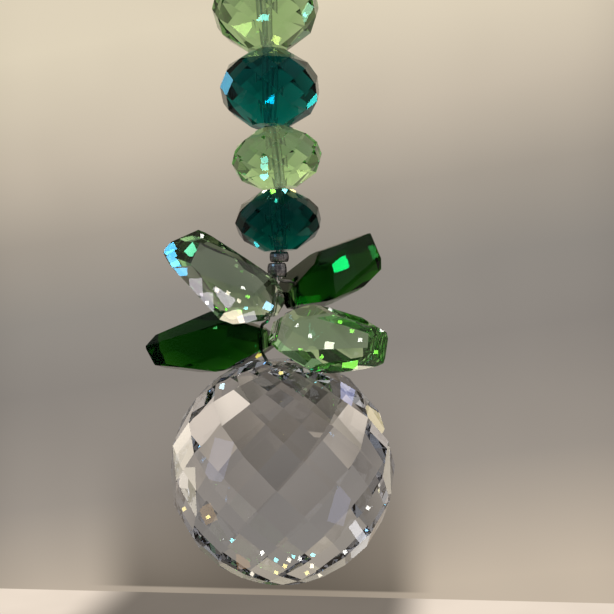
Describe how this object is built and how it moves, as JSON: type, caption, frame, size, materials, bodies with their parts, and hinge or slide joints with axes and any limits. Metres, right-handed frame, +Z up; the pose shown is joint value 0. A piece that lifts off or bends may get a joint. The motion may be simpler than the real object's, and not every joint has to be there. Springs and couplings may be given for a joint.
{
  "type": "crystal suncatcher",
  "caption": "Hanging suncatcher: a clear faceted ball below leaf-like polygon drops and a strand of faceted green and teal rondelles on a beading wire with a hanging ring.",
  "frame": {"origin": "highest point inside the hanging ring, where a hook carries the suncatcher", "axes": "+Z up along the strand, +X to the viewer's right across the four drops, +Y away from the viewer"},
  "size_m": [0.0334, 0.03, 0.1015],
  "materials": {
    "clear_crystal": "polished, faceted",
    "leaf_green": "polished, faceted",
    "peridot": "polished, faceted",
    "teal": "polished, faceted",
    "gunmetal": "dark plated",
    "silver": "bright plated",
    "wire_grey": "satin"
  },
  "bodies": {
    "root": {"hanging_ring": "silver", "top_crimp_bead": "gunmetal", "beading_wire": "wire_grey", "peridot_rondelle_top": "peridot", "teal_rondelle_upper": "teal", "peridot_rondelle_lower": "peridot", "teal_rondelle_lower": "teal", "crimp_bead_upper": "gunmetal", "crimp_bead_lower": "gunmetal", "clear_drop_left": "clear_crystal", "green_drop_right": "leaf_green", "green_drop_left": "leaf_green", "clear_drop_right": "clear_crystal", "crystal_ball": "clear_crystal"}
  },
  "joints": []
}
